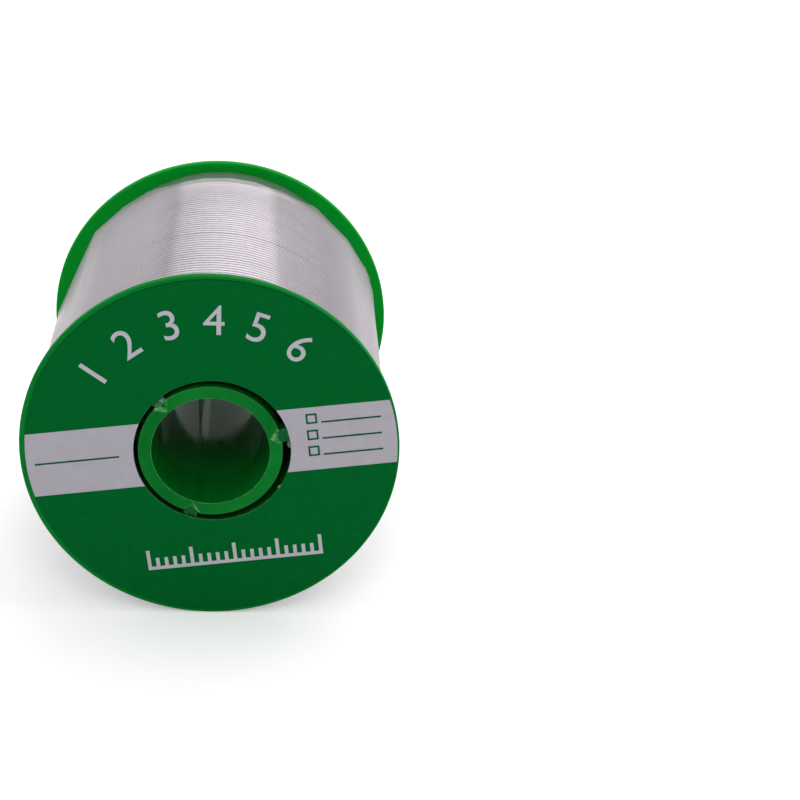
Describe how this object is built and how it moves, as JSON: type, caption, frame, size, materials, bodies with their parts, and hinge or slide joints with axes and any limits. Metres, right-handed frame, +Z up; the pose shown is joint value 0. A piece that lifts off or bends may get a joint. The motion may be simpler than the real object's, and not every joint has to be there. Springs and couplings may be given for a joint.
{
  "type": "solder wire spool",
  "caption": "Green plastic reel lying on its rims, full of solder wire under clear film, with paper labels on both ends and an open hub bore for a spindle.",
  "frame": {"origin": "on the table under the middle of the reel, which lies on its two rims", "axes": "+Y along the reel's axis from the front end to the rear end, +Z up, +X to the right seen from the front"},
  "size_m": [0.061, 0.0552, 0.0609],
  "materials": {
    "green_plastic": "glossy injection moulding, a little translucent",
    "label_paper": "satin printed paper, dark green with a pale band",
    "solder": "satin drawn tin alloy",
    "clear_film": "clear glossy film"
  },
  "bodies": {
    "root": {"reel_body": "green_plastic", "front_flange": "green_plastic", "front_label": "label_paper", "rear_label": "label_paper", "solder_wire_core": "solder", "solder_wire_outer_layer": "solder", "film_wrap": "clear_film"}
  },
  "joints": []
}
